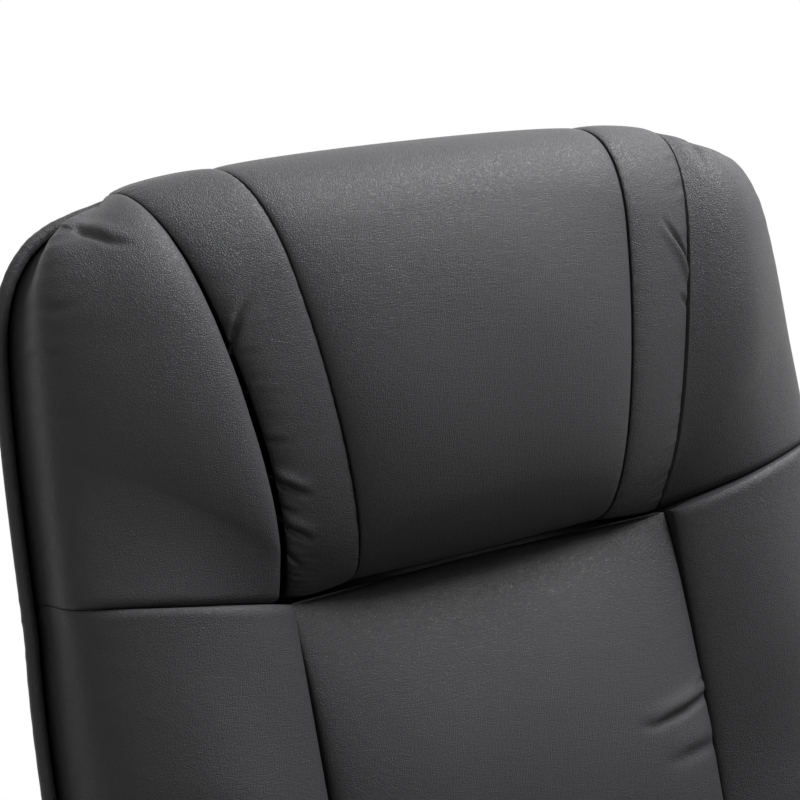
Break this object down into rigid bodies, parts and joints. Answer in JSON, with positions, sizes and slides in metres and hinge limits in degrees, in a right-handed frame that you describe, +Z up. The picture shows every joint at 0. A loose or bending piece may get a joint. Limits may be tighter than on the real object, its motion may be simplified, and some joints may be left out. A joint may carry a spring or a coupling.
{
  "type": "swivel recliner",
  "caption": "Black padded swivel recliner with a winged head roll, a tilting back, a round pedestal base and a fold-out footrest worked by a side lever.",
  "frame": {"origin": "on the floor, on the swivel axis, at the underside of the floor pad", "axes": "+Z up along the swivel axis, -Y the way the sitter faces, -X the sitter's right, where the lever is"},
  "size_m": [0.714, 0.8838, 1.0771],
  "materials": {
    "black_leather": "fine grain faux leather",
    "rubber": "matt rubber",
    "chrome": "polished",
    "zinc": "bright zinc",
    "black_steel": "black powder coat",
    "cast_weight": "raw cast",
    "nylon": "moulded nylon",
    "black_plastic": "moulded black",
    "timber": "planed softwood",
    "spring_steel": "drawn wire"
  },
  "bodies": {
    "base": {"floor_pad": "rubber", "base_plate": "chrome", "base_weight": "cast_weight", "base_nut": "zinc", "base_column": "chrome", "column_bushes": "nylon", "thrust_bearing": "zinc", "column_collar": "chrome"},
    "seat": {"swivel_spindle": "zinc", "swivel_plate": "black_steel", "seat_bearers": "black_steel", "plate_bolts": "zinc", "seat_frame": "timber", "seat_springs": "spring_steel", "seat_apron": "black_leather", "seat_cushion": "black_leather", "mechanism_plate_left": "black_steel", "mechanism_plate_right": "black_steel", "frame_pins": "zinc", "shaft_bushes": "nylon", "hinge_plates": "black_steel", "hinge_bolts": "zinc", "arm_frame_left": "timber", "arm_frame_right": "timber", "arm_cover_left": "black_leather", "arm_cover_right": "black_leather", "arm_pad_left": "black_leather", "arm_pad_right": "black_leather", "arm_bolts": "zinc", "lever_bezel": "black_plastic"},
    "back": {"back_brackets": "black_steel", "bracket_bolts": "zinc", "back_frame": "timber", "back_springs": "spring_steel", "rear_cover": "black_leather", "back_welt": "black_leather", "head_cushion": "black_leather", "head_bolster_left": "black_leather", "head_bolster_right": "black_leather", "wing_left": "black_leather", "wing_right": "black_leather", "side_panel_left": "black_leather", "side_panel_right": "black_leather", "lumbar_cushion": "black_leather"},
    "wheel_left": {"recline_wheel_left": "black_plastic"},
    "wheel_right": {"recline_wheel_right": "black_plastic"},
    "lever": {"lever_shaft": "zinc", "lever_handle": "black_plastic"},
    "rods": {"drive_rods": "black_steel"},
    "long_links": {"long_links": "black_steel", "long_link_pins": "zinc"},
    "outer_links": {"outer_links": "black_steel", "outer_link_pins": "zinc"},
    "rear_controls": {"rear_control_links": "black_steel"},
    "front_controls": {"front_control_links": "black_steel"},
    "footrest": {"footrest_brackets": "black_steel", "bracket_pins": "zinc", "footrest_board": "timber", "footrest_pad": "black_leather"}
  },
  "joints": [
    {"name": "base_swivel", "type": "hinge", "parent": "base", "child": "seat", "pos_m": [0, 0, 0.258], "axis": [0, 0, 1], "continuous": true},
    {"name": "back_recline", "type": "hinge", "parent": "seat", "child": "back", "pos_m": [0, 0.215, 0.345], "axis": [-1, 0, 0], "range_deg": [0, 35]},
    {"name": "wheel_left_turn", "type": "hinge", "parent": "seat", "child": "wheel_left", "pos_m": [0.281, 0.215, 0.345], "axis": [1, 0, 0], "range_deg": [-180, 180]},
    {"name": "wheel_right_turn", "type": "hinge", "parent": "seat", "child": "wheel_right", "pos_m": [-0.281, 0.215, 0.345], "axis": [-1, 0, 0], "range_deg": [-180, 180]},
    {"name": "footrest_unfold", "type": "hinge", "parent": "seat", "child": "long_links", "pos_m": [0, -0.25, 0.29], "axis": [-1, 0, 0], "range_deg": [0, 84]},
    {"name": "outer_link_turn", "type": "hinge", "parent": "long_links", "child": "outer_links", "pos_m": [0, -0.23432, 0.14082], "axis": [-1, 0, 0], "range_deg": [-118.7, 0]},
    {"name": "footrest_turn", "type": "hinge", "parent": "outer_links", "child": "footrest", "pos_m": [0, -0.32543, 0.25998], "axis": [-1, 0, 0], "range_deg": [0, 118.7]},
    {"name": "rear_control_turn", "type": "hinge", "parent": "seat", "child": "rear_controls", "pos_m": [0, -0.28036, 0.24821], "axis": [-1, 0, 0], "range_deg": [0, 93.6]},
    {"name": "front_control_turn", "type": "hinge", "parent": "long_links", "child": "front_controls", "pos_m": [0, -0.23746, 0.17066], "axis": [-1, 0, 0], "range_deg": [-118.7, 0]},
    {"name": "lever_turn", "type": "hinge", "parent": "seat", "child": "lever", "pos_m": [0, -0.165, 0.29], "axis": [-1, 0, 0], "range_deg": [0, 84.1]},
    {"name": "rod_turn", "type": "hinge", "parent": "lever", "child": "rods", "pos_m": [0, -0.19511, 0.32344], "axis": [-1, 0, 0], "range_deg": [-84.1, 0]}
  ],
  "couplings": [
    {"joint": "outer_link_turn", "follows": "footrest_unfold", "ratio": -1.4119},
    {"joint": "footrest_turn", "follows": "footrest_unfold", "ratio": 1.4119},
    {"joint": "rear_control_turn", "follows": "footrest_unfold", "ratio": 1.113},
    {"joint": "front_control_turn", "follows": "footrest_unfold", "ratio": -1.4119},
    {"joint": "lever_turn", "follows": "footrest_unfold", "ratio": 1},
    {"joint": "rod_turn", "follows": "footrest_unfold", "ratio": -1}
  ]
}
